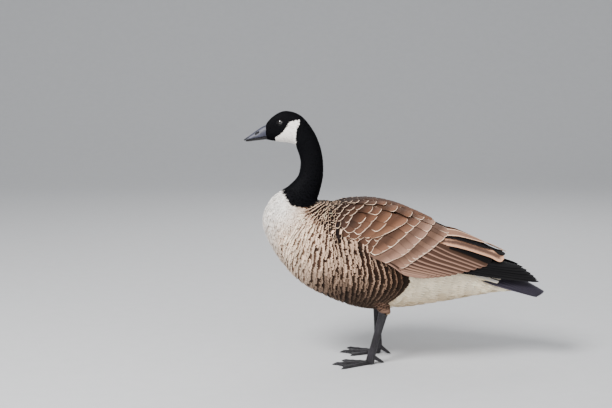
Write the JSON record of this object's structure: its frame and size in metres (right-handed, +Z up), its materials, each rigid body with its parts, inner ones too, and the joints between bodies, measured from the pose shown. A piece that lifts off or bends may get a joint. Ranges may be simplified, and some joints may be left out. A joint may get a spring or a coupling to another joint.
{
  "type": "canada goose",
  "caption": "Life-size still model of a Canada goose standing on both feet, with a black head and neck, white cheeks, folded brown wings and a short black tail.",
  "frame": {"origin": "on the floor, at the middle of the goose's bounding box seen from above", "axes": "the bill points to -X and the tail to +X, +Y is the goose's right side, +Z is up"},
  "size_m": [0.6575, 0.2114, 0.5482],
  "materials": {
    "neck_plumage": "short dense black feathers with a white cheek patch, laid over a solid head and neck",
    "body_plumage": "soft grey-brown and white body feathers with pale tips, laid over a solid trunk",
    "wing_plumage": "firm brown coverts and flight feathers with pale edges, black at the wing tips",
    "tail_plumage": "firm black tail feathers under a white band of coverts",
    "bill_horn": "grey-black horn with a dull sheen",
    "leg_skin": "grey-black skin with fine scales and wrinkles",
    "eye_glass": "polished dark brown glass eye"
  },
  "bodies": {
    "root": {"head": "neck_plumage", "neck_upper": "neck_plumage", "neck_lower": "neck_plumage", "torso": "body_plumage", "thigh_left": "body_plumage", "thigh_right": "body_plumage", "wing_left": "wing_plumage", "wing_right": "wing_plumage", "tail": "tail_plumage", "bill_upper": "bill_horn", "bill_lower": "bill_horn", "eye_left": "eye_glass", "eye_right": "eye_glass", "shank_left": "leg_skin", "shank_right": "leg_skin", "foot_left": "leg_skin", "foot_right": "leg_skin", "claw_left_inner": "leg_skin", "claw_left_middle": "leg_skin", "claw_left_outer": "leg_skin", "claw_left_hind": "leg_skin", "claw_right_inner": "leg_skin", "claw_right_middle": "leg_skin", "claw_right_outer": "leg_skin", "claw_right_hind": "leg_skin"}
  },
  "joints": []
}
